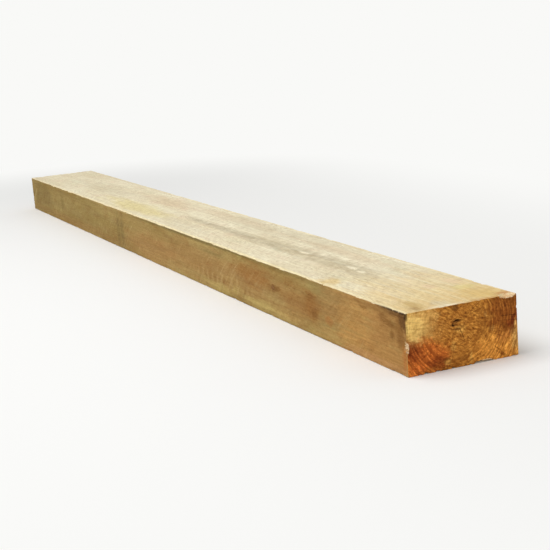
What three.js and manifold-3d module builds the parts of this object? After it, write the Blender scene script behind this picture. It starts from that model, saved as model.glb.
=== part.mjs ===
// A softwood railway sleeper, sawn square from one log and lying on a wide face.
//
// Millimetres, +Z up. +X runs along the sleeper and +Y across it, and the origin is the middle of its
// bottom face. The sleeper is what the saw leaves of a log, so it is made as the sawn block and the log
// in common: where the log is too thin to fill a corner of the block, its round surface stays as wane.
// The drying shakes round the pith and the corners that the crosscut saw broke out are then cut away.
import * as THREE from "three";
import { mergeVertices } from "three/addons/utils/BufferGeometryUtils.js";
import Module from "manifold-3d";

const wasm = await Module();
wasm.setup();

// The sawn block.
const length = 2400;
const width = 200;
const height = 100;
const sawnCornerRadius = 2; // the four long corners, rubbed by handling
const crosscutCorner = 1; // the edges round the two end faces

// The pith, the middle of the log's rings, is boxed in the block and leans a little along it.
const pithBelowTop = 30; // at the +X end
const pithFromMiddle = -11; // across the sleeper, at the +X end
const pithDrop = 4; // how much lower it lies at the -X end
const pithLean = -6; // how much further across it lies at the -X end

// The log narrows towards the -X end, where it no longer fills the bottom corner on the +Y side.
const waneDepth = 9; // from the missing corner in to the log, at the -X end
const waneLength = 1450; // from the -X end to the place where the log fills the corner again
const logRipple = 0.8; // half the height of the waves under the bark
const logRippleSpacing = 310; // from crest to crest along the log
const logFlutes = 7; // shallow ribs round the log, under its roots and branches

// Shakes: drying cracks from the pith, as seen by someone who faces the end, with the pith at [0, 0].
// bow is how far a crack's middle stands off the straight line, gape its width there.
const frontShakes = [
  { from: [-7, 2.5], to: [9.5, 3.5], bow: 1.6, gape: 2.8, depth: 60 },
  { from: [-8.5, 0], to: [-3.5, -3.5], bow: -0.6, gape: 2, depth: 45 },
  { from: [3, -4], to: [14, -31], bow: 0.8, gape: 0.9, depth: 80 },
];
const backShakes = [
  { from: [-1, 2], to: [-17, 19], bow: 0.8, gape: 1.8, depth: 90 },
  { from: [2, 0], to: [31, 7], bow: -1.2, gape: 1.6, depth: 75 },
  { from: [0, -2], to: [-9, -37], bow: 1, gape: 2.2, depth: 110 },
];
const shakeTip = 0.12; // a shake's size at its inner end, as a part of its size at its mouth

// Break-outs: corners torn off beside the crosscut, where a splinter left with the saw. Each lies on an
// edge of an end face, at a distance from the middle of the face's width and above its bottom.
const frontBreakOuts = [
  { across: 84, up: height, along: "width", size: 26, bite: 4 },
  { across: -width / 2, up: 46, along: "height", size: 17, bite: 2.4 },
  { across: 37, up: 0, along: "width", size: 34, bite: 3 },
];
const backBreakOuts = [
  { across: -62, up: 0, along: "width", size: 44, bite: 4 },
  { across: -width / 2, up: 71, along: "height", size: 22, bite: 3 },
];
const breakOutRun = 3; // how much further a break-out runs along the grain than it bites across it

// Fineness of the facets.
const cornerFacets = 4;
const logFacets = 180;
const logRings = 96;
const shakeFacets = 8;
const overcut = 3; // how far a cutter, or the log, stands out past the block

const freshSawn = new THREE.MeshStandardMaterial({ color: 0xc9a46a, roughness: 0.85, metalness: 0 });

// --- From geometry to solid and back -------------------------------------------------------------

function toSolid(geometry) {
  const bare = geometry.clone();
  bare.deleteAttribute("normal");
  bare.deleteAttribute("uv");
  const merged = mergeVertices(bare, 1e-4);
  const vertProperties = new Float32Array(merged.attributes.position.array);
  const triVerts = new Uint32Array(merged.index.array);
  return new wasm.Manifold(new wasm.Mesh({ numProp: 3, vertProperties, triVerts }));
}

function toGeometry(solid) {
  const { vertProperties, triVerts } = solid.getMesh();
  const geometry = new THREE.BufferGeometry();
  geometry.setAttribute("position", new THREE.BufferAttribute(vertProperties, 3));
  geometry.setIndex(new THREE.BufferAttribute(triVerts, 1));
  geometry.computeVertexNormals();
  return geometry;
}

// Moves each vertex of a geometry to where move puts it.
function reshape(geometry, move) {
  const positions = geometry.attributes.position;
  const point = new THREE.Vector3();
  for (let i = 0; i < positions.count; i++) {
    move(point.fromBufferAttribute(positions, i));
    positions.setXYZ(i, point.x, point.y, point.z);
  }
  return geometry;
}

// --- The frames that outlines are drawn in -------------------------------------------------------

const alongX = new THREE.Vector3(1, 0, 0);
const acrossY = new THREE.Vector3(0, 1, 0);
const upZ = new THREE.Vector3(0, 0, 1);

// The frame of an end face for someone who faces it: x to the right, y up, z out towards them. Its origin
// is the middle of the face's bottom edge. side is 1 for the +X end and -1 for the -X end.
function endFrame(side) {
  const right = acrossY.clone().multiplyScalar(side);
  const out = alongX.clone().multiplyScalar(side);
  return new THREE.Matrix4().makeBasis(right, upZ, out).setPosition((side * length) / 2, 0, 0);
}

// --- The sawn block ------------------------------------------------------------------------------

function sectionOutline() {
  const r = sawnCornerRadius;
  const side = width / 2;
  const outline = new THREE.Shape();
  outline.absarc(side - r, r, r, -Math.PI / 2, 0);
  outline.absarc(side - r, height - r, r, 0, Math.PI / 2);
  outline.absarc(-side + r, height - r, r, Math.PI / 2, Math.PI);
  outline.absarc(-side + r, r, r, Math.PI, 1.5 * Math.PI);
  return outline;
}

function sawnBlock() {
  const block = new THREE.ExtrudeGeometry(sectionOutline(), {
    depth: length - 2 * crosscutCorner,
    curveSegments: cornerFacets,
    bevelThickness: crosscutCorner,
    bevelSize: crosscutCorner,
    bevelOffset: -crosscutCorner,
    bevelSegments: 2,
  });
  block.translate(0, 0, crosscutCorner - length / 2);
  return block.applyMatrix4(new THREE.Matrix4().makeBasis(acrossY, upZ, alongX));
}

// --- The log -------------------------------------------------------------------------------------

function pithAt(x) {
  const back = 0.5 - x / length; // 0 at the +X end and 1 at the -X end
  return {
    y: pithFromMiddle + pithLean * back,
    z: height - pithBelowTop - pithDrop * back,
  };
}

// The log's radius, from the waned corner's distance to the pith. It leaves the corner bare by waneDepth
// at the -X end and grows evenly towards the +X end.
function logRadius(x) {
  const pith = pithAt(x);
  const cornerDistance = Math.hypot(width / 2 - pith.y, pith.z);
  const run = x + length / 2;
  return cornerDistance - waneDepth * (1 - run / waneLength);
}

function ripple(x, angle) {
  const wave = Math.sin((2 * Math.PI * x) / logRippleSpacing + 2 * Math.sin(angle));
  const flute = Math.cos(logFlutes * angle + x / logRippleSpacing);
  return 0.6 * logRipple * wave + 0.4 * logRipple * flute;
}

// A cylinder whose rings are moved out to the log's radius, round the pith.
function log() {
  const reach = length + 2 * overcut;
  const cylinder = new THREE.CylinderGeometry(1, 1, reach, logFacets, logRings);
  cylinder.rotateZ(-Math.PI / 2);
  return reshape(cylinder, (point) => {
    const pith = pithAt(point.x);
    const angle = Math.atan2(point.z, point.y);
    const radius = logRadius(point.x) + ripple(point.x, angle);
    point.y = pith.y + point.y * radius;
    point.z = pith.z + point.z * radius;
  });
}

// --- Shakes --------------------------------------------------------------------------------------

// A crack's mouth: two curves that bow to either side of its line and meet in its pointed ends.
function shakeMouth({ from, to, bow, gape }) {
  const start = new THREE.Vector2(...from);
  const end = new THREE.Vector2(...to);
  const middle = start.clone().lerp(end, 0.5);
  const aside = new THREE.Vector2(start.y - end.y, end.x - start.x).normalize();
  const inner = middle.clone().addScaledVector(aside, 2 * bow - gape);
  const outer = middle.clone().addScaledVector(aside, 2 * bow + gape);
  const mouth = new THREE.Shape();
  mouth.moveTo(start.x, start.y);
  mouth.quadraticCurveTo(inner.x, inner.y, end.x, end.y);
  mouth.quadraticCurveTo(outer.x, outer.y, start.x, start.y);
  return { mouth, middle };
}

// The crack runs in along the grain and closes towards its inner end.
function shakeCutter(shake, side) {
  const { mouth, middle } = shakeMouth(shake);
  const cutter = new THREE.ExtrudeGeometry(mouth, {
    depth: shake.depth + overcut,
    steps: shakeFacets,
    curveSegments: shakeFacets,
    bevelEnabled: false,
  });
  cutter.translate(0, 0, -shake.depth);
  reshape(cutter, (point) => {
    const inwards = Math.max(0, -point.z / shake.depth);
    const open = 1 - (1 - shakeTip) * inwards ** 1.5;
    point.x = middle.x + (point.x - middle.x) * open;
    point.y = middle.y + (point.y - middle.y) * open;
  });
  const pith = pithAt((side * length) / 2);
  cutter.translate(side * pith.y, pith.z, 0);
  return cutter.applyMatrix4(endFrame(side));
}

// --- Break-outs ----------------------------------------------------------------------------------

// A scoop on the edge, long and pointed along the edge, that runs in along the grain.
function breakOutCutter({ across, up, along, size, bite }, side) {
  const scoop = new THREE.SphereGeometry(1, 24, 12);
  if (along === "width") scoop.rotateZ(Math.PI / 2);
  const spread = along === "width" ? [size / 2, bite] : [bite, size / 2];
  scoop.scale(...spread, bite * breakOutRun);
  scoop.translate(across, up, 0);
  return scoop.applyMatrix4(endFrame(side));
}

// --- The sleeper ---------------------------------------------------------------------------------

function endCutters(side, shakes, breakOuts) {
  return [
    ...shakes.map((shake) => shakeCutter(shake, side)),
    ...breakOuts.map((breakOut) => breakOutCutter(breakOut, side)),
  ];
}

function sleeper() {
  let wood = toSolid(sawnBlock()).intersect(toSolid(log()));
  const front = endCutters(1, frontShakes, frontBreakOuts);
  const back = endCutters(-1, backShakes, backBreakOuts);
  for (const cutter of [...front, ...back]) wood = wood.subtract(toSolid(cutter));
  const mesh = new THREE.Mesh(toGeometry(wood), freshSawn);
  mesh.name = "sleeper";
  return mesh;
}

const group = new THREE.Group();
group.add(sleeper());

export default group;
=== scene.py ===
"""A sawn softwood railway sleeper, lying on a wide face: its looks, built round the sawn solid.

Metres, +Z up. +X runs along the sleeper to its front end, +Y across it, and the origin is the middle of
its bottom face.
"""

import math

import bmesh
import bpy
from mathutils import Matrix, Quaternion, Vector


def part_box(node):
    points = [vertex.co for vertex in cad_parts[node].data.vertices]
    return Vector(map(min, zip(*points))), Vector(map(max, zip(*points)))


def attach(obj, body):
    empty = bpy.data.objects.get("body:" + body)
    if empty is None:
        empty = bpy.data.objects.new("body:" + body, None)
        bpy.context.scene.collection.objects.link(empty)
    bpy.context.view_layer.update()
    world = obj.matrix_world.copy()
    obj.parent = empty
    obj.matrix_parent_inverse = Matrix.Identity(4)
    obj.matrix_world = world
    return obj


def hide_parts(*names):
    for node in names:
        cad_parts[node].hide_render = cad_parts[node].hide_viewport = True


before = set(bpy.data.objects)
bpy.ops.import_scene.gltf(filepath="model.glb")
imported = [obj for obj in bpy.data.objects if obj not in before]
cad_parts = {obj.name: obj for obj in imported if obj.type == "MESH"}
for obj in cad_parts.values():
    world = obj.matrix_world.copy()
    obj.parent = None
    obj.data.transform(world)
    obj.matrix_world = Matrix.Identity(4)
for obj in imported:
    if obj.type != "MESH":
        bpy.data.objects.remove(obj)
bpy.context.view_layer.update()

MM = 0.001
LOW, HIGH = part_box("sleeper")
LENGTH, WIDTH, HEIGHT = HIGH - LOW
FRONT = HIGH.x
BACK = LOW.x
SIDE = WIDTH / 2

# The pith: the middle of the log's rings. It leans a little from the front end to the back end.
PITH_ACROSS = -11 * MM
PITH_UP = HEIGHT - 30 * MM
PITH_LEAN = -6 * MM
PITH_DROP = 4 * MM

# The log's round surface, which stays as wane along the lower corner on the +Y side at the back.
WANE_DEPTH = 9 * MM  # from the missing corner in to the log, at the back end
WANE_LENGTH = 1450 * MM

# The places where the crosscut saw broke pieces out: the middle of each scoop and its reach each way.
BREAK_OUTS = [
    (Vector((FRONT, 84 * MM, HEIGHT)), Vector((12, 13, 4)) * MM),
    (Vector((FRONT, -SIDE, 46 * MM)), Vector((7.2, 2.4, 8.5)) * MM),
    (Vector((FRONT, 37 * MM, 0)), Vector((9, 17, 3)) * MM),
    (Vector((BACK, 62 * MM, 0)), Vector((12, 22, 4)) * MM),
    (Vector((BACK, SIDE, 71 * MM)), Vector((9, 3, 11)) * MM),
]

# Modelling.
CORNER = 2 * MM
NEAR_CORNER = 5 * MM  # a row of cells beside each long corner, for its chips
FINE_FROM = 0.9  # from the middle; past it, towards each end, the sleeper is divided more finely
END_CUTS = 99
MIDDLE_CUTS = 359
ACROSS_CUTS = 31
UP_CUTS = 14
UNDIVIDED = 50 * MM  # an edge across or up that is longer than this still has to be divided
WIDE_CELL = 4 * MM  # near the ends, a cell that is wider than this is divided once more
EDGE_REACH = 7 * MM  # how far the chips and the torn fibres reach from an edge
RELIEF_START = (0.013, 0.007, 0.003)  # where the reliefs' patterns begin, a little off the origin
SAME_POINT = 0.005 * MM  # points that lie closer together than this are one
SMOOTH_UNDER = math.radians(40)  # facets that meet at less than this are shaded as one surface

# How the timber's faces are told apart.
END_ZONE = 5 * MM  # an end's own facets lie no deeper than this
SHAKE_REACH = 130 * MM  # the shakes run in less far than this from the ends
SHAKE_INSET = 8 * MM  # and stay further than this inside the long faces

# The round saw that cut the long faces, and its feed roller.
SAW_RADIUS = 260 * MM
SAW_DROP = 150 * MM  # from a face's middle line or lower edge down to the saw's axis
ROLLER_STEP = 27 * MM  # between the ribs that the roller pressed in

# The wood's own pattern.
RING = 7 * MM  # a year's growth
RING_LOBES = 16 * MM  # how far the rings are out of round on the whole
RING_WOBBLE = 5 * MM  # and how far they waver within a finger's breadth
PITH_WANDER_ACROSS = 16 * MM
PITH_WANDER_UP = 12 * MM
KNOT_BEND = 9 * MM  # how far the rings and the fibres give way to a knot
BARK_RIM = 1.8 * MM  # how far the bark side's colour runs past the edges of the wane
BARK_RIM_UNEVEN = 1.6 * MM
RAGGED = 2.6  # how far a patch's edge wanders, where 1 is the patch's own reach
SPLINTERED = 1.8 * MM  # how far the pale splinters reach past each scoop that broke out
SHEEN = 0.12  # on the shader's scale, where 0.5 is a coat of varnish
END_SHEEN = 0.1

# Grain sizes that the long faces share, in millimetres along the wood and across it.
BROAD_STREAKS = (260, 12)
FINE_STREAKS = (90, 3.2)
FIBRES = (24, 1.1)
SAW_STRETCHES = (190, 90)  # the stretches where the saw's marks are plain
SAW_STROKES = (16, 40)  # lighter and darker strokes of the saw

# Changes along the sleeper: where each one begins and where it is complete.
SIDE_TURNS_GOLDEN = (860 * MM, 1100 * MM)
TOP_TURNS_GOLDEN = (880 * MM, 1120 * MM)
TOP_TURNS_DEEP_GOLDEN = (1060 * MM, 1260 * MM)
MOULD_BEGINS = (-60 * MM, 120 * MM)
MOULD_ENDS = (860 * MM, 1000 * MM)

# The dark line's limits on the side's top edge and on the end's edge: where each one begins and is
# complete.
DARK_LINE_ALONG = (1090 * MM, 1150 * MM)
DARK_LINE_UP = (94 * MM, 98 * MM)
DARK_LINE_NEAR_END = (1191 * MM, 1198 * MM)
DARK_LINE_UP_END = (58 * MM, 92 * MM)
DARK_LINE_AROUND_EDGE = (-98 * MM, -95 * MM)

# Colours, as they look on a screen.
# The long faces' tans are partly painted shade, darker and warmer than the top's creams, which are partly
# painted light from above.
TAN = (177, 150, 92)
DARK_TAN = (160, 131, 74)
GOLDEN_TAN = (190, 140, 80)
REDDISH_TAN = (176, 122, 70)
OLIVE_TAN = (172, 156, 92)
RIDGE = (206, 180, 122)
BOTTOM_TAN = (184, 158, 104)
BOTTOM_DARK = (158, 128, 76)
# The top's creams: partly bleaching, partly painted light from above.
CREAM = (239, 229, 200)
DULL_CREAM = (229, 216, 183)
PINK_CREAM = (230, 205, 176)
GREEN_CREAM = (220, 217, 184)
PALE_GOLD = (234, 208, 150)
DEEP_GOLD = (216, 172, 98)
SUMMER_WOOD = (208, 184, 136)
SAWN_CREAM = (226, 196, 160)
MOULD_GREY = (182, 168, 138)
END_BROWN = (200, 134, 56)
END_DARK = (164, 100, 36)
# Fresh torn wood, made paler still as a painted highlight.
FRESH_WOOD_AND_HIGHLIGHT = (252, 230, 192)
SPLINTER_SHADE = (210, 162, 106)
KNOT_HEART = (160, 116, 70)
KNOT_BROWN = (128, 86, 50)
KNOT_RIM = (84, 56, 32)
INNER_BARK = (158, 116, 66)
OLD_BARK = (112, 76, 44)
BARK = (72, 50, 36)
# A dark line along the front part of the top edge and down the end's edge.
EDGE_LINE_DARK = (50, 30, 14)
SHAKE_BROWN = (124, 76, 34)
SHAKE_DARK = (84, 48, 22)
# The top corners, painted paler than the top: a painted highlight along the edge.
CORNER_HIGHLIGHT_PALE = (248, 234, 198)
CORNER_HIGHLIGHT_DEEP = (222, 198, 150)

# Colours of the marks on the faces, from the palest to the darkest.
PALE_SCRAP = (251, 241, 213)
# A painted highlight along the top's long corners.
TOP_EDGE_HIGHLIGHT = (252, 236, 190)
ROSY_CREAM = (239, 211, 174)
PALE_RESIN = (250, 208, 122)
STRAW = (224, 207, 136)
WEATHERED = (213, 203, 175)
PINKISH = (219, 191, 157)
RESIN_GOLD = (222, 187, 112)
PALE_STRAW = (203, 180, 111)
HONEY = (227, 173, 94)
AMBER = (239, 161, 69)
DULL_GOLD = (199, 167, 102)
TAWNY_GOLD = (210, 153, 72)
BUFF = (196, 148, 98)
OLD_GOLD = (191, 133, 64)
OLIVE = (155, 136, 80)
RED_TAN = (175, 128, 77)
OCHRE = (163, 125, 73)
BURNT_ORANGE = (207, 108, 44)
RUSSET = (186, 112, 52)
DIRTY_OLIVE = (138, 116, 67)
LIGHT_BROWN = (149, 111, 60)
RED_BROWN = (160, 106, 50)
DIRTY_GREEN = (124, 108, 63)
BROWN = (136, 93, 43)
CHESTNUT = (146, 78, 28)
DARK_BROWN = (120, 79, 35)
BLACK_BROWN = (100, 65, 31)
RESIN_RED = (132, 55, 19)
NEAR_BLACK_BROWN = (90, 53, 20)

# Studio.
BACKDROP = (249, 249, 247)
FLOOR = (240, 239, 236)
FLOOR_SEEN = (248, 248, 247)
FLOOR_SIZE = 60
SHADOW_FADES = (0.25, 1.3)  # how far from the sleeper its shadow begins to fade, and where it is gone
WORLD_LIGHT = 0.53  # on the sleeper, where the backdrop behind it is 1

# Camera.
CAMERA_PLACE = Vector((2.79, -0.99, 0.55))
CAMERA_AIM = Vector((0.993, -0.217, 0.145))
CAMERA_ROLL = math.radians(-4.47)
CAMERA_LENS = 81.6


# ---------------------------------------------------------------------------------------------
# Handling pieces
# ---------------------------------------------------------------------------------------------

def take(piece):
    """Selects one piece and nothing else."""
    bpy.ops.object.select_all(action="DESELECT")
    piece.select_set(True)
    bpy.context.view_layer.objects.active = piece


def open_mesh(piece, mode="EDGE"):
    """Opens a piece's mesh for editing, with nothing in it selected."""
    take(piece)
    bpy.ops.object.mode_set(mode="EDIT")
    bpy.ops.mesh.select_mode(type=mode)
    bpy.ops.mesh.select_all(action="DESELECT")


def close_mesh():
    bpy.ops.object.mode_set(mode="OBJECT")


def pick_edges(piece, wanted):
    """In edit mode, selects the edges whose two ends pass the test, and no others."""
    bpy.ops.mesh.select_all(action="DESELECT")
    shape = bmesh.from_edit_mesh(piece.data)
    for edge in shape.edges:
        edge.select_set(wanted(edge.verts[0].co, edge.verts[1].co))
    bmesh.update_edit_mesh(piece.data)


def apply(piece, kind, **settings):
    """Adds a modifier and applies it."""
    take(piece)
    modifier = piece.modifiers.new(kind.lower(), kind)
    for name, value in settings.items():
        setattr(modifier, name, value)
    bpy.ops.object.modifier_apply(modifier=modifier.name)


def merge_doubles(piece, distance):
    """Makes points that lie closer together than the distance one."""
    open_mesh(piece, "VERT")
    bpy.ops.mesh.select_all(action="SELECT")
    bpy.ops.mesh.remove_doubles(threshold=distance)
    close_mesh()


def split_wide_faces(piece):
    """Takes out points in the middle of an edge, and cuts faces of five or more sides into triangles."""
    open_mesh(piece, "VERT")
    shape = bmesh.from_edit_mesh(piece.data)
    for point in shape.verts:
        point.select_set(len(point.link_edges) == 2)
    bmesh.update_edit_mesh(piece.data)
    bpy.ops.mesh.dissolve_verts()
    bpy.ops.mesh.select_mode(type="FACE")
    bpy.ops.mesh.select_all(action="DESELECT")
    bpy.ops.mesh.select_face_by_sides(number=4, type="GREATER")
    bpy.ops.mesh.quads_convert_to_tris()
    close_mesh()


def discard(piece):
    bpy.data.objects.remove(piece, do_unlink=True)


# ---------------------------------------------------------------------------------------------
# The timber
# ---------------------------------------------------------------------------------------------

def sawn_solid():
    """A merged copy of the sawn solid, which the timber is fitted to."""
    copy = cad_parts["sleeper"].copy()
    copy.data = copy.data.copy()
    copy.parent = None
    copy.name = "sawn_solid"
    bpy.context.scene.collection.objects.link(copy)
    merge_doubles(copy, SAME_POINT)
    return copy


def runs_along(axis, start, end, shortest):
    """Whether an edge runs along one axis and is at least that long."""
    way = end - start
    return abs(way[axis]) > shortest and abs(way[axis]) > 0.999 * way.length


def crosses_fine_part(start, end):
    """Whether an edge runs across or up, in a part of the sleeper that is divided more finely."""
    fine = min(abs(start.x), abs(end.x)) > FINE_FROM
    return fine and (runs_along(1, start, end, WIDE_CELL) or runs_along(2, start, end, WIDE_CELL))


def cut_across(place, way):
    """Cuts the whole mesh along a plane and keeps both sides."""
    bpy.ops.mesh.select_all(action="SELECT")
    bpy.ops.mesh.bisect(plane_co=place, plane_no=way)


def in_end_face(point):
    """Whether a point lies in one of the two end faces."""
    return FRONT - abs(point.x) < 2 * SAME_POINT


def block():
    """The sawn block, with its corners eased and its faces divided finely enough for relief."""
    bpy.ops.object.select_all(action="DESELECT")
    bpy.ops.mesh.primitive_cube_add(size=1, location=(0, 0, HEIGHT / 2))
    timber = bpy.context.active_object
    timber.name = "sleeper_timber"
    bpy.ops.transform.resize(value=(LENGTH, WIDTH, HEIGHT))
    bpy.ops.object.transform_apply(location=True, rotation=False, scale=True)
    open_mesh(timber)
    bpy.ops.mesh.select_all(action="SELECT")
    bpy.ops.mesh.bevel(offset=CORNER, segments=2, affect="EDGES")
    for side in (-1, 1):
        cut_across(Vector((side * FINE_FROM, 0, 0)), Vector((1, 0, 0)))
        cut_across(Vector((0, side * (SIDE - NEAR_CORNER), 0)), Vector((0, 1, 0)))
        cut_across(Vector((0, 0, HEIGHT / 2 + side * (HEIGHT / 2 - NEAR_CORNER))), Vector((0, 0, 1)))
    for shortest, cuts in ((FINE_FROM, MIDDLE_CUTS), (LENGTH / 2 - FINE_FROM - 2 * CORNER, END_CUTS)):
        pick_edges(timber, lambda a, b: runs_along(0, a, b, shortest))
        bpy.ops.mesh.subdivide(number_cuts=cuts)
    for axis, cuts in ((1, ACROSS_CUTS), (2, UP_CUTS)):
        pick_edges(timber, lambda a, b: runs_along(axis, a, b, UNDIVIDED))
        bpy.ops.mesh.subdivide(number_cuts=cuts)
    pick_edges(timber, crosses_fine_part)
    bpy.ops.mesh.subdivide(number_cuts=1)
    pick_edges(timber, lambda a, b: in_end_face(a) and in_end_face(b))
    bpy.ops.mesh.subdivide(number_cuts=1)
    close_mesh()
    return timber


def inset_of(point):
    """How far a point lies from each of the nearest three sides of the block, nearest first."""
    return sorted([FRONT - abs(point.x), SIDE - abs(point.y), min(point.z, HEIGHT - point.z)])


def weigh(piece, name, weight):
    """A vertex group in which each point's weight comes from its place."""
    group = piece.vertex_groups.new(name=name)
    for vertex in piece.data.vertices:
        amount = weight(vertex.co)
        if amount > 0:
            group.add([vertex.index], amount, "REPLACE")
    return group.name


def relief(piece, name, depth, stretch, group="", **settings):
    """Presses a procedural relief into the surface. stretch is its grain size along X, Y and Z."""
    bpy.ops.object.select_all(action="DESELECT")
    bpy.ops.object.empty_add(location=RELIEF_START)
    stretcher = bpy.context.active_object
    stretcher.scale = stretch
    bpy.context.view_layer.update()
    pattern = bpy.data.textures.new(name, "CLOUDS")
    pattern.noise_scale = 1.0
    for key, value in settings.items():
        setattr(pattern, key, value)
    apply(piece, "DISPLACE", texture=pattern, strength=depth, mid_level=1.0, vertex_group=group,
          texture_coords="OBJECT", texture_coords_object=stretcher)
    discard(stretcher)


def along_edges(point):
    """The sleeper's edges, where chips come off."""
    _, second, _ = inset_of(point)
    return max(0.0, 1 - second / EDGE_REACH)


def under_crosscut(point):
    """The lower edge of each end, where the saw came out and tore the fibres away."""
    from_edge = math.hypot(FRONT - abs(point.x), point.z)
    return max(0.0, 1 - from_edge / EDGE_REACH)


def in_break_outs(point):
    """The scoops beside the crosscuts and the wood just under them."""
    for middle, reach in BREAK_OUTS:
        away = point - middle
        if sum((away[axis] / (reach[axis] + MM)) ** 2 for axis in range(3)) < 1:
            return 1.0
    return 0.0


def at_ends(point):
    """The flat of the end faces, but not their edges, which stay straight."""
    across, up = SIDE - abs(point.y), min(point.z, HEIGHT - point.z)
    return min(1.0, min(across, up) / EDGE_REACH) if in_end_face(point) else 0.0


def timber():
    """The dense timber: a divided block drawn onto the sawn solid, pressed into relief and cut with it."""
    solid = sawn_solid()
    piece = block()
    apply(piece, "SHRINKWRAP", target=solid, wrap_method="NEAREST_SURFACEPOINT", wrap_mode="ON_SURFACE")
    tests = (along_edges, under_crosscut, at_ends, in_break_outs)
    groups = [weigh(piece, test.__name__, test) for test in tests]
    relief(piece, "saw_waver", 0.3 * MM, (0.12, 0.06, 0.06))
    relief(piece, "torn_grain", 0.4 * MM, (0.12, 0.008, 0.008), noise_depth=2)
    relief(piece, "arris_chips", 2.2 * MM, (0.022, 0.010, 0.010), group=groups[0], contrast=4,
           intensity=2.15)
    relief(piece, "torn_fibres", 2.4 * MM, (0.02, 0.009, 0.009), group=groups[1], contrast=3,
           intensity=1.5)
    relief(piece, "crosscut_tear", 0.9 * MM, (0.01, 0.0065, 0.004), group=groups[2], noise_depth=2)
    relief(piece, "splinters", 2.4 * MM, (0.03, 0.006, 0.006), group=groups[3], contrast=2)
    apply(piece, "BOOLEAN", object=solid, operation="INTERSECT", solver="MANIFOLD")
    merge_doubles(piece, 2 * SAME_POINT)
    split_wide_faces(piece)
    discard(solid)
    piece.vertex_groups.clear()
    take(piece)
    bpy.ops.object.shade_smooth_by_angle(angle=SMOOTH_UNDER)
    return piece


# ---------------------------------------------------------------------------------------------
# Materials: nodes from Python expressions
# ---------------------------------------------------------------------------------------------

class Shade:
    """A socket in a material's node tree. Python's operators join it to others with Math nodes."""

    def __init__(self, tree, socket=None):
        self.tree = tree
        self.socket = socket

    def node(self, kind, settings=None, sockets=None, output=0):
        """Adds any node: its settings first, then the values or links of its sockets."""
        made = self.tree.nodes.new(kind)
        for name, value in (settings or {}).items():
            setattr(made, name, value)
        for key, value in (sockets or {}).items():
            if isinstance(value, Shade):
                self.tree.links.new(value.socket, made.inputs[key])
            else:
                made.inputs[key].default_value = value
        return Shade(self.tree, made.outputs[output]) if made.outputs else None

    def maths(self, operation, *values):
        return self.node("ShaderNodeMath", {"operation": operation}, dict(enumerate(values)))

    def vector_maths(self, operation, other=(0, 0, 0), output=0):
        return self.node("ShaderNodeVectorMath", {"operation": operation}, {0: self, 1: other}, output)

    def __add__(self, other):
        return self.maths("ADD", self, other)

    def __sub__(self, other):
        return self.maths("SUBTRACT", self, other)

    def __rsub__(self, other):
        return self.maths("SUBTRACT", other, self)

    def __mul__(self, other):
        return self.maths("MULTIPLY", self, other)

    def __truediv__(self, other):
        return self.maths("DIVIDE", self, other)

    def __rtruediv__(self, other):
        return self.maths("DIVIDE", other, self)

    def __pow__(self, other):
        return self.maths("POWER", self, other)

    def __abs__(self):
        return self.maths("ABSOLUTE", self)

    __radd__ = __add__
    __rmul__ = __mul__


def tone(red, green, blue):
    """A colour as it looks on a screen, 0 to 255, in the linear values that a shader takes."""
    def linear(value):
        part = value / 255
        return part / 12.92 if part <= 0.04045 else ((part + 0.055) / 1.055) ** 2.4
    return (linear(red), linear(green), linear(blue), 1.0)


def rise(value, low, high, start=0.0, end=1.0):
    """A smooth step from start, below low, to end, above high."""
    return value.node("ShaderNodeMapRange", {"interpolation_type": "SMOOTHSTEP"},
                      {"Value": value, "From Min": low, "From Max": high, "To Min": start, "To Max": end})


def fall(value, low, high):
    return rise(value, low, high, start=1.0, end=0.0)


def lesser(first, second):
    return first.maths("MINIMUM", first, second)


def greater(first, second):
    return first.maths("MAXIMUM", first, second)


def root(value):
    return value.maths("SQRT", value)


def sine(value):
    return value.maths("SINE", value)


def blend(amount, under, over, how="MIX"):
    """Colour over laid on colour under by amount."""
    return amount.node("ShaderNodeMix", {"data_type": "RGBA", "blend_type": how},
                       {0: amount, 6: under, 7: over}, output=2)


def shade_by(amount, under, factor):
    """Multiplies a colour by a factor where amount is 1.

    Wood that is darkened turns redder, and wood that is lightened turns greyer.
    """
    tint = [factor ** 0.8, factor, factor ** 1.2, 1.0]
    return blend(amount, under, tint, "MULTIPLY")


def vary(colour, *patterns):
    """Darkens a colour where a noise is high and lightens it where it is low, each with its strength."""
    for pattern, strength in patterns:
        colour = shade_by(rise(pattern, 0.5, 0.72), colour, 1 - strength)
        colour = shade_by(fall(pattern, 0.28, 0.5), colour, 1 + strength * 0.8)
    return colour


def joined(*ways):
    """The point with these coordinates. A face's own coordinates are two of the wood's three."""
    return ways[0].node("ShaderNodeCombineXYZ", sockets=dict(enumerate(ways)))


def noise(at, grain, detail=2.0, roughness=0.5):
    """Noise, 0 to 1, and the size of its grain along each coordinate, in millimetres."""
    sizes = [size * MM for size in grain] + [1.0] * (3 - len(grain))
    scaled = at.vector_maths("DIVIDE", sizes)
    return scaled.node("ShaderNodeTexNoise", sockets={"Vector": scaled, "Scale": 1.0, "Detail": detail,
                                                      "Roughness": roughness})


def away_from(at, place, reach):
    """How far a point lies from a place, where 1 is the place's reach each way."""
    away = at.vector_maths("SUBTRACT", place)
    return away.vector_maths("DIVIDE", reach).vector_maths("LENGTH", output=1)


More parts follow.
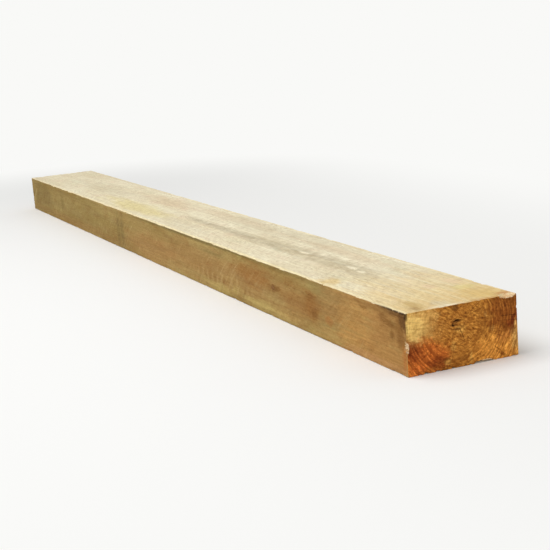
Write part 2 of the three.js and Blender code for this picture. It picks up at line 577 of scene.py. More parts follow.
class Log:
    """The wood of the log at every point of a surface: its rings, knots and fibres."""

    def __init__(self, base, knots=()):
        self.at = base.node("ShaderNodeTexCoord", output="Object")
        self.x, self.y, self.z = [
            base.node("ShaderNodeSeparateXYZ", sockets={0: self.at}, output=axis) for axis in range(3)]
        back = 0.5 - self.x / LENGTH  # 0 at the front end, 1 at the back end
        self.pith_y = PITH_ACROSS + PITH_LEAN * back
        self.pith_z = PITH_UP - PITH_DROP * back
        wander = noise(joined(self.x), (450,), detail=1) - 0.5
        self.dy = self.y - self.pith_y + wander * PITH_WANDER_ACROSS
        self.dz = self.z - self.pith_z - wander * PITH_WANDER_UP
        self.radius = root(self.dy * self.dy + self.dz * self.dz)
        self.bend = 0.0
        self.along_fibres = self.at
        if knots:
            uneven = noise(self.at, (26, 20, 20), detail=3)
            self.near_knot = self.nearest_knot(knots) * (0.8 + uneven * 0.4)
            self.knot = fall(self.near_knot, 0.86, 1.04)
            self.knot_halo = fall(self.near_knot, 1.0, 3.2)
            self.bend = self.knot_halo ** 2 * KNOT_BEND
            self.along_fibres = joined(self.x, self.y + self.bend, self.z + self.bend)

    def nearest_knot(self, knots):
        """The distance from the nearest branch's middle, in branch radii."""
        nearest = None
        for along, turn, growth, tilt in knots:
            across, up = math.cos(math.radians(turn)), math.sin(math.radians(turn))
            out = self.dy * across + self.dz * up
            aside = self.dz * across - self.dy * up
            length = self.x - along - out * tilt
            distance = root(aside * aside + length * length * 0.6)
            branch = distance / greater(out * growth, 0.5 * MM)
            nearest = branch if nearest is None else lesser(nearest, branch)
        return nearest

    def rings(self):
        """The dark summer wood of each year's ring, 0 to 1."""
        lobe = noise(self.at, (700, 60, 60)) - 0.5
        wobble = noise(self.at, (160, 13, 13)) - 0.5
        width = 1 + 0.5 * (noise(joined(self.radius), (22,), detail=1) - 0.5)
        count = (self.radius + lobe * RING_LOBES + wobble * RING_WOBBLE + self.bend) / (width * RING)
        phase = count.maths("FRACT", count)
        return rise(phase, 0.25, 0.85) * fall(phase, 0.88, 1.0)

    def streaks(self, long, wide):
        """Streaks along the grain, about that long and wide in millimetres, that bend round the knots."""
        return noise(self.along_fibres, (long, wide, wide), detail=3)

    def under_bark(self):
        """How far a point lies outside the log's sawn wood, in metres: above 0 on the waned corner."""
        run = (self.x - BACK) / WANE_LENGTH  # 0 at the back end, 1 where the wane runs out
        across = SIDE - self.pith_y
        log_radius = root(across * across + self.pith_z * self.pith_z) - WANE_DEPTH * (1 - run)
        dy, dz = self.y - self.pith_y, self.z - self.pith_z
        uneven = noise(self.at, (60, 20, 20), detail=3) - 0.5
        rim = BARK_RIM + uneven * BARK_RIM_UNEVEN - rise(run, 0.9, 1.0) * WANE_DEPTH
        return root(dy * dy + dz * dz) - log_radius + rim

    def broken_out(self):
        """The scoops that broke out beside the crosscuts, 1 inside."""
        splintered = noise(self.at, (10, 4, 4), detail=4, roughness=0.65) - 0.5
        past = Vector((SPLINTERED, SPLINTERED, SPLINTERED))
        nearest = None
        for middle, reach in BREAK_OUTS:
            scoop = away_from(self.at, middle, reach + past)
            nearest = scoop if nearest is None else lesser(nearest, scoop)
        return fall(nearest + splintered, 0.86, 1.04)


def material(name):
    """A new material, and the Shade that its nodes are made from."""
    made = bpy.data.materials.new(name)
    made.use_nodes = True
    made.node_tree.nodes.clear()
    return made, Shade(made.node_tree)


def finish(base, colour, roughness, height, sheen=SHEEN):
    """Joins a material's colour, roughness and height, in metres, to its surface."""
    bump = base.node("ShaderNodeBump", sockets={"Strength": 1.0, "Distance": 1.0, "Height": height})
    surface = base.node("ShaderNodeBsdfPrincipled",
                        sockets={"Base Color": colour, "Roughness": roughness, "Normal": bump,
                                 "Specular IOR Level": sheen})
    base.node("ShaderNodeOutputMaterial", sockets={"Surface": surface})


def patch(flat, place, reach, soft=0.6):
    """A ragged-edged patch on a face, 1 inside: its place and its reach each way, in millimetres."""
    ragged = noise(flat, (reach[0] * 0.7, reach[1] * 0.7), detail=5, roughness=0.75) - 0.5
    away = away_from(flat, (place[0] * MM, place[1] * MM, 0), (reach[0] * MM, reach[1] * MM, 1))
    return fall(away + ragged * RAGGED, 1 - soft, 1 + soft * 0.7)


def stain(colour, flat, marks):
    """Lays marks on a colour: each is a place, a reach each way, a colour and a strength."""
    for place, reach, mark, strength in marks:
        colour = blend(patch(flat, place, reach) * strength, colour, tone(*mark))
    return colour


def saw_arcs(along, up):
    """A face's coordinates, bent so that the first one is the same all along one stroke of a round saw."""
    drop = up + SAW_DROP
    return joined(along + root(SAW_RADIUS ** 2 - drop * drop), up)


def saw_marks(arcs, worked):
    """The arcs that a round saw leaves, about -1 to 1: faint all over, plain where worked is 1."""
    coarse = noise(arcs, (11, 90), detail=1) - 0.5
    keen = noise(arcs, (4, 40)) - 0.5
    return coarse * worked * 3.0 + keen * (0.9 + worked * 1.1)


def roller_marks(wood, flat, place):
    """The upright ribs that the saw's feed roller pressed in round a place, about -1 to 1."""
    waver = noise(flat, (90, 40)) * 9
    worn = noise(flat, (30, 20), detail=3)
    ribs = sine(wood.x * (math.tau / ROLLER_STEP) + waver) * rise(worn, 0.2, 0.6)
    return ribs * patch(flat, place, (180, 22), soft=0.9)


def lay_knots(colour, wood, late):
    """The branches' end grain: a brown, cracked heart, a broken dark rim and darker wood round it."""
    near = wood.near_knot
    colour = shade_by(late * wood.knot_halo, colour, 0.72)
    colour = blend(wood.knot_halo ** 2 * 0.45, colour, tone(*KNOT_BROWN))
    years = rise(sine(near * 15 + noise(wood.at, (9, 8, 8), detail=3) * 12), -0.6, 0.9)
    heart = blend(years * 0.45, tone(*KNOT_HEART), tone(*KNOT_BROWN))
    checks = noise(wood.at, (30, 7, 7))
    heart = shade_by(fall(abs(checks - 0.5), 0.006, 0.03), heart, 0.5)
    colour = blend(wood.knot * 0.85, colour, heart)
    broken = noise(wood.at, (20, 16, 16), detail=3)
    rim = rise(near, 0.72, 0.94) * fall(near, 0.96, 1.16) * rise(broken, 0.36, 0.6)
    return blend(rim * 0.85, colour, tone(*KNOT_RIM))


def lay_bark(colour, wood):
    """The log's bare round surface along the waned corner, with scraps of bark left on it."""
    outside = wood.under_bark()
    stringy = noise(wood.at, (30, 1.8, 1.8), detail=3, roughness=0.6)
    stains = noise(wood.at, (130, 14, 14), detail=4, roughness=0.6)
    scraps = noise(wood.at, (80, 7, 7), detail=5, roughness=0.65) + stringy * 0.25
    skin = blend(rise(stains, 0.35, 0.65), tone(*INNER_BARK), tone(*OLD_BARK))
    skin = blend(rise(scraps, 0.68, 0.78), skin, tone(*BARK))
    skin = vary(skin, (stringy, 0.2), (wood.streaks(90, 5), 0.15))
    colour = shade_by(rise(outside, -3.0 * MM, -0.4 * MM), colour, 0.62)
    return blend(rise(outside, -0.5 * MM, 0.3 * MM), colour, skin)


def lay_breaks(colour, wood):
    """The pale fresh wood where the crosscuts broke pieces out, in splinters along the grain; its paleness
    is partly a painted highlight.
    """
    splinters = noise(wood.at, (16, 3, 3), detail=4, roughness=0.7)
    fresh = blend(rise(splinters, 0.32, 0.7), tone(*FRESH_WOOD_AND_HIGHLIGHT), tone(*SPLINTER_SHADE))
    return blend(wood.broken_out() * 0.9, colour, fresh)


def golden(wood, flat, begins, complete):
    """The stretch behind the front end that has gone golden, in fingers along the grain."""
    fingers = noise(flat, (170, 10), detail=3, roughness=0.6)
    return rise(wood.x + (fingers - 0.5) * 0.45, begins, complete)


def lay_dark_edge_line(colour, wood):
    """A dark line along the front part of the top edge and down the end's edge."""
    uneven = noise(joined(wood.x, wood.z), (14, 9), detail=3)
    along_top = rise(wood.x, *DARK_LINE_ALONG) * rise(wood.z, *DARK_LINE_UP)
    down_edge = rise(wood.x, *DARK_LINE_NEAR_END) * rise(wood.z, *DARK_LINE_UP_END)
    line = greater(along_top, down_edge) * fall(wood.y, *DARK_LINE_AROUND_EDGE)
    return blend(line * rise(uneven, 0.25, 0.5) * 0.85, colour, tone(*EDGE_LINE_DARK))


def sawn_side(name, marks, knots, worked_place, roller_place, waned):
    """A long narrow face: olive tan, darker than the top partly as painted shade, redder in places, with
    the arcs of a round saw.
    """
    made, base = material(name)
    wood = Log(base, knots)
    flat = joined(wood.x, wood.z)
    late = wood.rings()
    cloud = noise(flat, (330, 60), detail=3)
    mottle = noise(flat, (44, 16), detail=4, roughness=0.62)
    fuzz = noise(flat, (10, 4), detail=3, roughness=0.6)
    broad = wood.streaks(*BROAD_STREAKS)
    fine = wood.streaks(*FINE_STREAKS)
    fibres = wood.streaks(*FIBRES)
    worked = rise(noise(flat, SAW_STRETCHES, detail=1), 0.5, 0.65)
    worked = greater(worked, patch(flat, worked_place, (140, 60)))
    arcs = saw_arcs(wood.x, wood.z)
    strokes = noise(arcs, SAW_STROKES, detail=3)
    saw = saw_marks(arcs, worked)
    colour = blend(rise(cloud, 0.35, 0.7), tone(*TAN), tone(*DARK_TAN))
    colour = blend(golden(wood, flat, *SIDE_TURNS_GOLDEN) * 0.75, colour, tone(*GOLDEN_TAN))
    colour = blend(rise(mottle, 0.5, 0.75) * 0.35, colour, tone(*REDDISH_TAN))
    colour = blend(fall(mottle, 0.25, 0.5) * 0.35, colour, tone(*OLIVE_TAN))
    colour = stain(colour, flat, marks)
    colour = shade_by(late, colour, 0.92)
    colour = vary(colour, (broad, 0.07), (fine, 0.10), (fibres, 0.12), (mottle, 0.11),
                  (strokes, 0.08), (fuzz, 0.18))
    ribs = roller_marks(wood, flat, roller_place)
    ridges = greater(rise(saw, 0.1, 0.9) * 0.35, rise(ribs, 0.0, 1.0) * 0.26)
    colour = blend(ridges, colour, tone(*RIDGE))
    colour = shade_by(greater(fall(saw, -0.9, -0.1), fall(ribs, -0.9, 0.0) * 0.6), colour, 0.86)
    specks = noise(flat, (6, 3.5), detail=1)
    colour = shade_by(rise(specks, 0.66, 0.74), colour, 0.72)
    colour = lay_knots(colour, wood, late)
    colour = lay_bark(colour, wood) if waned else lay_dark_edge_line(colour, wood)
    colour = lay_breaks(colour, wood)
    rough = fine * 0.35 + fibres * 0.25 + saw * 0.14 + ribs * 0.2 + mottle * 0.3 + fuzz * 0.3
    height = (rough + late * 0.15 + wood.knot * 0.3) * MM
    finish(base, colour, 0.88 - late * 0.08, height)
    return made


def lay_mould(colour, wood, flat):
    """The grey streak down the middle of the top, which widens towards the front."""
    x, y = wood.x, wood.y
    ragged = noise(flat, (60, 22), detail=4, roughness=0.6)
    run = rise(x, *MOULD_BEGINS) * fall(x, *MOULD_ENDS)
    middle = rise(x, 100 * MM, 900 * MM, start=-12 * MM, end=-3 * MM)
    half = rise(x, 150 * MM, 600 * MM, start=12 * MM, end=25 * MM)
    away = abs(y - middle) / half + (ragged - 0.5) * 0.7
    patchy = noise(flat, (60, 13), detail=4, roughness=0.6)
    strength = fall(away, 0.2, 1.5) * run * (0.35 + rise(patchy, 0.3, 0.7) * 0.4)
    return blend(strength, colour, tone(*MOULD_GREY))


def sawn_top():
    """The wide upper face, nearly cream: partly bleached, partly painted light from above."""
    made, base = material("pale_sawn_top")
    wood = Log(base)
    flat = joined(wood.x, wood.y)
    late = wood.rings()
    cloud = noise(flat, (300, 70), detail=3)
    tint = noise(flat, (120, 45), detail=3)
    mottle = noise(flat, (30, 14), detail=4, roughness=0.65)
    patchy = rise(noise(flat, (150, 50)), 0.3, 0.7)
    fuzz = 0.5 + (noise(flat, (14, 3.2), detail=4, roughness=0.7) - 0.5) * (0.5 + patchy * 0.8)
    broad = wood.streaks(*BROAD_STREAKS)
    fine = wood.streaks(*FINE_STREAKS)
    fibres = wood.streaks(*FIBRES)
    worked = rise(noise(flat, SAW_STRETCHES, detail=1), 0.42, 0.6)
    arcs = saw_arcs(wood.x, wood.y * -1)
    strokes = noise(arcs, SAW_STROKES, detail=3)
    saw = saw_marks(arcs, worked)
    colour = blend(rise(cloud, 0.35, 0.7), tone(*CREAM), tone(*DULL_CREAM))
    colour = blend(rise(tint, 0.52, 0.75) * 0.45, colour, tone(*PINK_CREAM))
    colour = blend(fall(tint, 0.25, 0.46) * 0.45, colour, tone(*GREEN_CREAM))
    colour = lay_mould(colour, wood, flat)
    colour = blend(golden(wood, flat, *TOP_TURNS_GOLDEN) * 0.7, colour, tone(*PALE_GOLD))
    colour = blend(golden(wood, flat, *TOP_TURNS_DEEP_GOLDEN) * 0.5, colour, tone(*DEEP_GOLD))
    colour = stain(colour, flat, TOP_MARKS)
    colour = blend(late * 0.22, colour, tone(*SUMMER_WOOD))
    colour = vary(colour, (broad, 0.04), (fine, 0.06), (fibres, 0.09), (mottle, 0.11),
                  (strokes, 0.09), (fuzz, 0.26))
    colour = blend(rise(saw, 0.2, 0.9) * 0.3, colour, tone(*SAWN_CREAM))
    specks = noise(flat, (7, 3.5), detail=1)
    colour = shade_by(rise(specks, 0.68, 0.76), colour, 0.75)
    colour = lay_breaks(colour, wood)
    rough = fine * 0.35 + fibres * 0.25 + saw * 0.12 + mottle * 0.25 + fuzz * 0.3
    finish(base, colour, 0.9 - late * 0.06, (rough + late * 0.15) * MM)
    return made


def sawn_bottom():
    """The lower face: it looks like the sides, with their partly painted shade, and is duller than the top.
    """
    made, base = material("sawn_bottom")
    wood = Log(base, BOTTOM_KNOTS)
    flat = joined(wood.x, wood.y)
    late = wood.rings()
    cloud = noise(flat, (300, 70), detail=3)
    mottle = noise(flat, (44, 18), detail=4, roughness=0.62)
    fuzz = noise(flat, (10, 4), detail=3, roughness=0.6)
    broad = wood.streaks(*BROAD_STREAKS)
    fine = wood.streaks(*FINE_STREAKS)
    fibres = wood.streaks(*FIBRES)
    worked = rise(noise(flat, SAW_STRETCHES, detail=1), 0.42, 0.6)
    arcs = saw_arcs(wood.x, wood.y)
    strokes = noise(arcs, SAW_STROKES, detail=3)
    saw = saw_marks(arcs, worked)
    colour = blend(rise(cloud, 0.35, 0.7), tone(*BOTTOM_TAN), tone(*BOTTOM_DARK))
    colour = stain(colour, flat, BOTTOM_MARKS)
    colour = shade_by(late, colour, 0.88)
    colour = vary(colour, (broad, 0.08), (fine, 0.10), (fibres, 0.08), (mottle, 0.10),
                  (strokes, 0.10), (fuzz, 0.10))
    colour = shade_by(rise(saw, 0.0, 0.9), colour, 0.88)
    colour = lay_knots(colour, wood, late)
    colour = lay_bark(colour, wood)
    colour = lay_breaks(colour, wood)
    rough = fine * 0.35 + fibres * 0.25 + saw * 0.14 + mottle * 0.25 + fuzz * 0.3
    finish(base, colour, 0.88, (rough + late * 0.15) * MM)
    return made


def hair_cracks(wood):
    """Hairline cracks that run straight out from the pith. A direction is in thousandths of the radius."""
    outwards = joined(wood.dy / wood.radius, wood.dz / wood.radius, wood.radius)
    way = noise(outwards, (260, 260, 420), detail=1)
    broken = noise(outwards, (120, 120, 26))
    lines = fall(abs(way - 0.5), 0.003, 0.012)
    return lines * rise(broken, 0.46, 0.56) * rise(wood.radius, 12 * MM, 30 * MM)


def crosscut_end(name, turned, marks, pale_place, pale_reach, ringed, fuzzy):
    """A crosscut end. turned is 1 for the front end and -1 for the back end.

    ringed is how plainly the years' rings show, and fuzzy how much of the grain is torn, 0 to 1.
    """
    made, base = material(name)
    wood = Log(base)
    y, z = wood.y * turned, wood.z
    flat = joined(y, z)
    late = wood.rings()
    ragged = noise(flat, (17, 13), detail=4, roughness=0.65)
    drift = (noise(flat, (38, 38), detail=1) - 0.5) * 16 * MM
    level = z + y * 0.12 + drift * 0.4
    torn_down = noise(joined(y - z * 0.5 + drift, z + y * 0.5), (8, 3.6), detail=3, roughness=0.62)
    round_pith = joined(wood.radius, wood.dy / wood.radius, wood.dz / wood.radius)
    torn_round = noise(round_pith, (3.4, 140, 140), detail=3, roughness=0.62)
    pale = patch(flat, pale_place, pale_reach)
    plain = 1 - pale * 0.75
    outer = rise(wood.radius, 34 * MM, 60 * MM)
    torn = torn_down + outer * (torn_round - torn_down)
    speck = noise(flat, (3.6, 3.0), roughness=0.6)
    score = noise(joined(y, level), (55, 3.4), detail=3, roughness=0.6)
    blotches = noise(flat, (13, 10), detail=3, roughness=0.6)
    colour = blend(rise(ragged, 0.3, 0.7), tone(*END_BROWN), tone(*END_DARK))
    colour = stain(colour, flat, marks)
    years = late * (0.1 + outer * ringed) * (1 - pale * 0.8)
    dark = greater(greater(rise(torn, 0.5, 0.68), rise(speck, 0.52, 0.72) * 0.7) * plain * fuzzy, years)
    light = greater(fall(torn, 0.32, 0.5), fall(speck, 0.30, 0.46) * 0.7) * plain * fuzzy
    colour = shade_by(dark, colour, 0.37)
    colour = shade_by(light, colour, 1.85)
    colour = shade_by(rise(score, 0.5, 0.68) * (0.3 + pale * 0.7), colour, 0.75)
    colour = shade_by(fall(score, 0.32, 0.48) * (0.3 + pale * 0.7), colour, 1.16)
    colour = vary(colour, (blotches, 0.35))
    colour = shade_by(hair_cracks(wood) * (1 - pale * 0.7), colour, 0.5)
    if turned > 0:
        colour = lay_dark_edge_line(colour, wood)
    colour = lay_breaks(colour, wood)
    height = (torn + speck * 0.5 + score * 0.5 + late * 0.2) * MM
    finish(base, colour, 0.9 - late * 0.08, height, sheen=END_SHEEN)
    return made


def plain_wood(name, pale, dark, dark_lined=False):
    """Wood without marks, for the top corners, painted paler than the top as a highlight, and the walls of
    the shakes.
    """
    made, base = material(name)
    wood = Log(base)
    fine = wood.streaks(50, 2.5)
    cloud = noise(wood.at, (50, 25, 25), detail=3)
    colour = blend(rise(cloud, 0.3, 0.7), tone(*pale), tone(*dark))
    colour = shade_by(rise(fine, 0.45, 0.8), colour, 0.85)
    if dark_lined:
        colour = lay_dark_edge_line(colour, wood)
    colour = lay_breaks(colour, wood)
    finish(base, colour, 0.85 - fine * 0.05, (fine * 0.3 + cloud * 0.4) * MM)
    return made


# Each knot is a branch from the pith: its place along the sleeper, the way it grows in degrees, seen from
# the front end (0 is +Y, 90 up), how fast it thickens and how far it tilts towards the front end.
EDGE_KNOTS = [(-0.08, -14, 0.17, 0.3), (-0.62, -35, 0.17, 0.3)]
SIDE_KNOTS = [(0.685, 189, 0.035, 0.25)]
BACK_KNOTS = EDGE_KNOTS + [(0.36, -8, 0.14, 0.35), (-0.99, -5, 0.13, 0.3)]
BOTTOM_KNOTS = EDGE_KNOTS + [(0.41, -62, 0.17, 0.3), (-0.13, -98, 0.15, 0.25), (-0.66, -115, 0.10, 0.3)]

# Marks on the faces. Each has its place, its reach each way, both in millimetres, its colour and its
# strength. A place is along the sleeper and then across or up it, or, on an end, to the right of its middle
# for someone who faces it and then up.
TOP_MARKS = [
    # The two long corners, with a painted highlight along them.
    ((-300, -97), (900, 4), TOP_EDGE_HIGHLIGHT, 0.5),
    ((560, -97), (700, 5), TOP_EDGE_HIGHLIGHT, 0.8),
    ((300, 97), (1000, 4), TOP_EDGE_HIGHLIGHT, 0.5),
    # Broad stretches where the bleaching is uneven.
    ((-700, 0), (260, 40), WEATHERED, 0.4),
    ((-280, -52), (230, 34), STRAW, 0.6),
    ((-240, 40), (160, 30), PINKISH, 0.4),
    ((130, -60), (130, 26), WEATHERED, 0.35),
    ((150, 60), (240, 20), PINKISH, 0.35),
    ((400, 62), (330, 36), WEATHERED, 0.45),
    ((700, 55), (220, 14), PINKISH, 0.3),
    # Spots of resin, bare wood and dirt behind the front end, with a painted shadow and a painted highlight
    # at its edge.
    ((910, -81), (30, 20), RESIN_GOLD, 0.6),
    ((1052, 76), (24, 12), ROSY_CREAM, 0.6),
    ((1062, 24), (20, 10), ROSY_CREAM, 0.6),
    ((1104, 66), (18, 22), STRAW, 0.55),
    ((1164, 62), (48, 34), RESIN_GOLD, 0.6),
    # A painted shadow at the far front corner, beside the break-out.
    ((1190, 88), (18, 14), RUSSET, 0.7),
    ((1176, -22), (20, 16), WEATHERED, 0.5),
    ((1160, -62), (32, 13), DULL_GOLD, 0.6),
    ((1182, -72), (16, 9), OCHRE, 0.6),
    ((1197, 44), (7, 34), OLD_GOLD, 0.55),
    # A painted highlight along the front end's edge.
    ((1194, -26), (8, 28), PALE_SCRAP, 0.6),
    # Scraps of pale wood in the grey streak.
    ((640, -1), (16, 5), PALE_SCRAP, 0.9),
    ((692, 18), (13, 5), PALE_SCRAP, 0.8),
    ((752, 30), (16, 5), PALE_SCRAP, 0.6),
    ((838, 0), (18, 6), PALE_SCRAP, 0.9),
    ((882, -4), (13, 5), PALE_SCRAP, 0.8),
]
SIDE_MARKS = [
    # Broad stretches: redder in the middle, olive and darker at the back, most of all along the lower edge
    # there.
    ((430, 46), (440, 36), RED_TAN, 0.45),
    ((600, 66), (90, 22), RED_BROWN, 0.55),
    ((-30, 30), (180, 34), RED_TAN, 0.45),
    ((-700, 50), (420, 60), OLIVE, 0.4),
    ((-1080, 50), (160, 60), DIRTY_OLIVE, 0.5),
    ((-700, 12), (420, 14), OCHRE, 0.5),
    # Upright darker bands.
    ((-268, 46), (15, 46), DIRTY_OLIVE, 0.6),
    ((-236, 46), (15, 46), DIRTY_OLIVE, 0.65),
    ((-830, 60), (17, 30), DIRTY_OLIVE, 0.5),
    # The lower edge, rubbed pale.
    ((430, 12), (80, 11), PALE_STRAW, 0.55),
    ((530, 22), (40, 10), PALE_STRAW, 0.4),
    ((640, 13), (90, 8), PALE_STRAW, 0.7),
    ((760, 14), (60, 8), DULL_GOLD, 0.5),
    # Darker along the upper edge.
    ((250, 97), (420, 4), DIRTY_GREEN, 0.75),
    ((760, 96), (160, 4), DIRTY_OLIVE, 0.55),
    ((400, 79), (60, 4), DIRTY_OLIVE, 0.5),
    # The knot's brown wood and the stains in front of it.
    ((716, 57), (26, 7), BROWN, 0.7),
    ((820, 46), (80, 34), RED_BROWN, 0.4),
    ((874, 54), (32, 26), RED_BROWN, 0.5),
    ((880, 40), (14, 10), DARK_BROWN, 0.45),
    ((866, 66), (22, 8), BROWN, 0.4),
    ((938, 38), (16, 9), RUSSET, 0.5),
    ((938, 62), (34, 3), LIGHT_BROWN, 0.55),
    ((965, 70), (70, 34), OCHRE, 0.55),
    ((890, 86), (34, 10), OLIVE, 0.5),
    # A paler stretch, then streaks and spots that darken towards the front end.
    ((1020, 46), (56, 44), HONEY, 0.2),
    ((1064, 86), (16, 3), BROWN, 0.6),
    ((1100, 92), (70, 5), LIGHT_BROWN, 0.5),
    ((1128, 84), (14, 5), DARK_BROWN, 0.55),
    ((1148, 77), (26, 5), DARK_BROWN, 0.65),
    ((1170, 93), (26, 4), BLACK_BROWN, 0.65),
    ((1160, 72), (24, 3), DARK_BROWN, 0.6),
    ((1156, 58), (7, 8), DARK_BROWN, 0.6),
    ((1150, 70), (44, 30), BROWN, 0.25),
    ((1183, 66), (14, 32), BROWN, 0.65),
    ((1191, 86), (12, 14), BLACK_BROWN, 0.8),
    ((1192, 24), (7, 24), RUSSET, 0.6),
    ((1090, 6), (110, 8), BUFF, 0.5),
]
BACK_MARKS = [
    ((-500, 60), (420, 36), OCHRE, 0.5),
    ((300, 40), (360, 40), RED_TAN, 0.45),
    ((820, 70), (200, 24), DIRTY_OLIVE, 0.5),
    ((-980, 30), (120, 50), PALE_STRAW, 0.4),
]
BOTTOM_MARKS = [
    ((-200, 20), (500, 40), LIGHT_BROWN, 0.5),
    ((700, -40), (300, 30), OCHRE, 0.4),
]
FRONT_MARKS = [
    # The pale, resinous corner.
    ((-88, 76), (34, 27), PALE_RESIN, 0.95),
    ((-60, 90), (20, 12), HONEY, 0.7),
    ((-54, 66), (22, 20), OLD_GOLD, 0.5),
    # The brown corner opposite it and the amber wood below.
    ((84, 70), (36, 36), CHESTNUT, 0.8),
    ((95, 50), (13, 18), RESIN_RED, 0.85),
    ((58, 20), (40, 24), AMBER, 0.85),
    ((74, 34), (14, 9), RUSSET, 0.5),
    ((96, 26), (9, 28), HONEY, 0.75),
    ((86, 6), (22, 9), AMBER, 0.6),
    # The orange corner and its two dark stains.
    ((-72, 26), (44, 27), BURNT_ORANGE, 0.85),
    ((-92, 38), (18, 16), RESIN_RED, 0.75),
    ((-44, 14), (19, 10), RESIN_RED, 0.7),
    ((-84, 6), (20, 8), BURNT_ORANGE, 0.6),
    # Small spots.
    ((-28, 12), (7, 5), TAWNY_GOLD, 0.7),
    ((-18, 35), (5, 8), TAWNY_GOLD, 0.75),
    ((-4, 60), (10, 8), TAWNY_GOLD, 0.6),
    ((-12, 95), (6, 5), NEAR_BLACK_BROWN, 0.7),
    ((53, 52), (5, 4), OLD_GOLD, 0.7),
    ((42, 76), (3, 6), OLD_GOLD, 0.7),
    ((44, 7), (11, 5), AMBER, 0.7),
    ((13, 12), (2.5, 10), TAWNY_GOLD, 0.75),
    # Black marks round the shakes.
    ((-10, 74), (9, 3.5), NEAR_BLACK_BROWN, 0.7),
    ((-16, 68), (6, 3), NEAR_BLACK_BROWN, 0.7),
    ((-10, 61), (7, 2), NEAR_BLACK_BROWN, 0.7),
]
REAR_MARKS = [
    ((-60, 30), (50, 30), RUSSET, 0.7),
    ((70, 70), (50, 30), HONEY, 0.8),
    ((40, 18), (40, 20), CHESTNUT, 0.7),
]


def materials():
    """The timber's finishes by the name of the face that each one covers."""
    return {
        "top": sawn_top(),
        "side": sawn_side("tan_sawn_side", SIDE_MARKS, SIDE_KNOTS, (490, 46), (450, 28), waned=False),
        "back": sawn_side("tan_sawn_back", BACK_MARKS, BACK_KNOTS, (-500, 50), (640, 34), waned=True),
        "bottom": sawn_bottom(),
        "front_end": crosscut_end("front_end_grain", 1, FRONT_MARKS, (-86, 80), (42, 30), 0.6, 1.0),
        "rear_end": crosscut_end("rear_end_grain", -1, REAR_MARKS, (70, 70), (60, 32), 0.8, 0.55),
        "shake": plain_wood("shake_walls", SHAKE_BROWN, SHAKE_DARK),
        # The top corners carry a painted highlight, paler than the top.
        "top_corner": plain_wood("top_corner_highlight", CORNER_HIGHLIGHT_PALE, CORNER_HIGHLIGHT_DEEP, dark_lined=True),
    }


def face_name(centre, normal):
    """Which of the timber's faces a facet belongs to."""
    from_end = FRONT - abs(centre.x)
    across, up = SIDE - abs(centre.y), min(centre.z, HEIGHT - centre.z)
    if min(across, up) > SHAKE_INSET and from_end < SHAKE_REACH and abs(normal.x) < 0.7:
        return "shake"
    if abs(normal.x) > 0.4 and from_end < END_ZONE:
        return "front_end" if centre.x > 0 else "rear_end"
    if normal.z > 0.8 and centre.z > HEIGHT / 2:
        return "top"
    if normal.z > 0.3 and centre.z > HEIGHT / 2:
        return "top_corner"
    if abs(normal.y) < -normal.z:
        return "bottom"
    return "side" if normal.y < 0 else "back"


def dress(piece):
    """Gives each facet the finish of its face."""
    finishes = materials()
    names = list(finishes)
    piece.data.materials.clear()
    for name in names:
        piece.data.materials.append(finishes[name])
    for facet in piece.data.polygons:
        facet.material_index = names.index(face_name(facet.center, facet.normal))


# ---------------------------------------------------------------------------------------------
# Studio
# ---------------------------------------------------------------------------------------------

def camera():
    made = bpy.data.objects.new("camera", bpy.data.cameras.new("camera"))
    made.data.lens = CAMERA_LENS
    made.data.clip_end = 100
    made.location = CAMERA_PLACE
    made.rotation_mode = "QUATERNION"
    aim = (CAMERA_AIM - CAMERA_PLACE).to_track_quat("-Z", "Y")
    made.rotation_quaternion = aim @ Quaternion((0, 0, 1), CAMERA_ROLL)
    bpy.context.scene.collection.objects.link(made)
    bpy.context.scene.camera = made


def lamp(name, place, aim, size, power):
    """A square lamp that faces a point."""
    made = bpy.data.objects.new(name, bpy.data.lights.new(name, "AREA"))
    made.data.size = size
    made.data.energy = power
    made.location = place
    made.rotation_mode = "QUATERNION"
    made.rotation_quaternion = (Vector(aim) - Vector(place)).to_track_quat("-Z", "Y")
    bpy.context.scene.collection.objects.link(made)


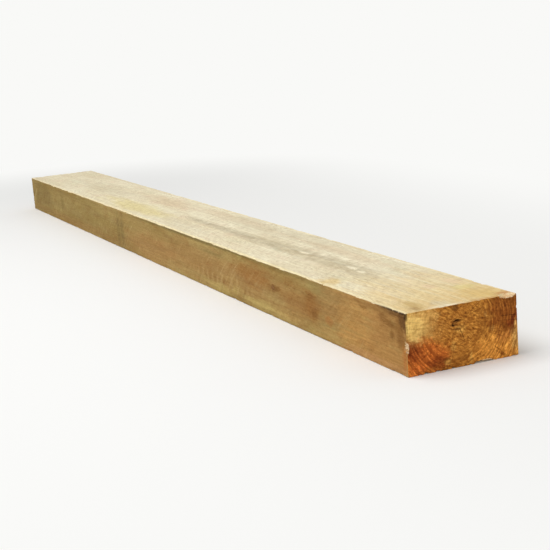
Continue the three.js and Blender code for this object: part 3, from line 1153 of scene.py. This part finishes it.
def seen_rays(base):
    """1 for the rays that show a thing to the camera, straight, in a shine or through glass, or else 0."""
    straight, shine, through = [base.node("ShaderNodeLightPath", output=kind) for kind in
                                ("Is Camera Ray", "Is Glossy Ray", "Is Transmission Ray")]
    return greater(greater(straight, shine), through)


def studio():
    lamp("key", place=(0.15, -1.6, 3.6), aim=(0, 0, 0), size=3.0, power=87)
    lamp("fill", place=(4.2, -0.6, 1.8), aim=(0.9, 0, 0), size=2.4, power=22)
    world = bpy.data.worlds.new("studio")
    bpy.context.scene.world = world
    world.use_nodes = True
    world.node_tree.nodes.clear()
    base = Shade(world.node_tree)
    strength = WORLD_LIGHT + seen_rays(base) * (1 - WORLD_LIGHT)
    light = base.node("ShaderNodeBackground", sockets={"Color": tone(*BACKDROP), "Strength": strength})
    base.node("ShaderNodeOutputWorld", sockets={"Surface": light})


def floor():
    """A pale floor. Past the shadow it is as bright as the backdrop, so that no horizon shows."""
    bpy.ops.object.select_all(action="DESELECT")
    bpy.ops.mesh.primitive_plane_add(size=FLOOR_SIZE, location=(0, 0, 0))
    made = bpy.context.active_object
    made.name = "floor"
    pale, base = material("pale_floor")
    at = base.node("ShaderNodeTexCoord", output="Object")
    x = at.node("ShaderNodeSeparateXYZ", sockets={0: at}, output=0)
    y = at.node("ShaderNodeSeparateXYZ", sockets={0: at}, output=1)
    past_end = greater(abs(x) - LENGTH / 2, 0)
    away = root(past_end * past_end + y * y)
    seen = seen_rays(base)
    colour = blend(seen, tone(*FLOOR), tone(*FLOOR_SEEN))
    matt = base.node("ShaderNodeBsdfDiffuse", sockets={"Color": colour})
    bright = base.node("ShaderNodeEmission", sockets={"Color": tone(*BACKDROP)})
    past_shadow = rise(away, *SHADOW_FADES) * seen
    surface = base.node("ShaderNodeMixShader", sockets={0: past_shadow, 1: matt, 2: bright})
    base.node("ShaderNodeOutputMaterial", sockets={"Surface": surface})
    made.data.materials.append(pale)


camera()
sleeper = timber()
dress(sleeper)
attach(sleeper, "root")
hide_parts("sleeper")
floor()
studio()
bpy.context.scene.view_settings.view_transform = "Standard"
